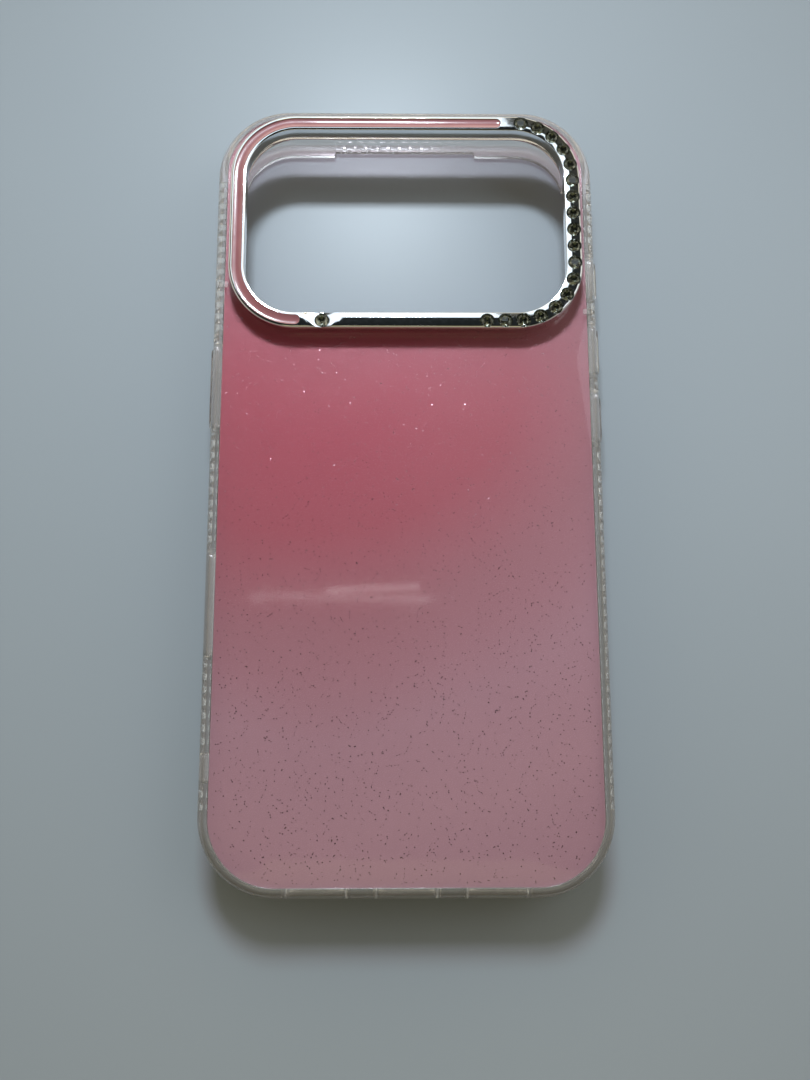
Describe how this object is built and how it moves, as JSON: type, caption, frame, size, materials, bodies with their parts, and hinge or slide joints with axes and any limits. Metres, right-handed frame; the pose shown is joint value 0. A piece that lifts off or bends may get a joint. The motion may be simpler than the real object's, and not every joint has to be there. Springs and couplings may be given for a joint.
{
  "type": "phone case",
  "caption": "Clear bumper phone case with a pink gradient back plate, a chrome camera bezel with enamel and set stones, and sprung press caps for the keys.",
  "frame": {"origin": "centre of the case's footprint, in the plane of the front lip that it lies on", "axes": "+Z out of the back plate, +Y towards the camera end, +X to the right seen from the back"},
  "size_m": [0.0772, 0.1542, 0.0141],
  "materials": {
    "clear_tpu": "clear soft polyurethane, glossy, very slightly warm",
    "clear_plate": "clear hard plate, smooth satin gloss",
    "pink_print": "printed rose to mauve gradient with fine glitter",
    "adhesive": "thin foam bond",
    "chrome": "mirror plated plastic",
    "pink_enamel": "slightly dished dusty pink resin",
    "crystal": "clear cut glass with a dark foil look",
    "button_cap": "smoky clear hard plastic"
  },
  "bodies": {
    "case": {"bumper_frame": "clear_tpu", "back_plate": "clear_plate", "print_film": "pink_print", "bezel_adhesive_ring": "adhesive", "camera_bezel": "chrome", "enamel_inlay": "pink_enamel", "rhinestone_01": "crystal", "rhinestone_02": "crystal", "rhinestone_03": "crystal", "rhinestone_04": "crystal", "rhinestone_05": "crystal", "rhinestone_06": "crystal", "rhinestone_07": "crystal", "rhinestone_08": "crystal", "rhinestone_09": "crystal", "rhinestone_10": "crystal", "rhinestone_11": "crystal", "rhinestone_12": "crystal", "rhinestone_13": "crystal", "rhinestone_14": "crystal", "rhinestone_15": "crystal", "rhinestone_16": "crystal", "rhinestone_17": "crystal", "rhinestone_18": "crystal", "rhinestone_19": "crystal"},
    "side_button": {"side_button": "button_cap"},
    "action_button": {"action_button": "button_cap"},
    "volume_up_button": {"volume_up_button": "button_cap"},
    "volume_down_button": {"volume_down_button": "button_cap"}
  },
  "joints": [
    {"name": "side_button_press", "type": "slide", "parent": "case", "child": "side_button", "axis": [1, 0, 0], "range_m": [0, 0.0005], "stiffness_N_per_m": 1500},
    {"name": "action_button_press", "type": "slide", "parent": "case", "child": "action_button", "axis": [-1, 0, 0], "range_m": [0, 0.0005], "stiffness_N_per_m": 1500},
    {"name": "volume_up_button_press", "type": "slide", "parent": "case", "child": "volume_up_button", "axis": [-1, 0, 0], "range_m": [0, 0.0005], "stiffness_N_per_m": 1500},
    {"name": "volume_down_button_press", "type": "slide", "parent": "case", "child": "volume_down_button", "axis": [-1, 0, 0], "range_m": [0, 0.0005], "stiffness_N_per_m": 1500}
  ]
}
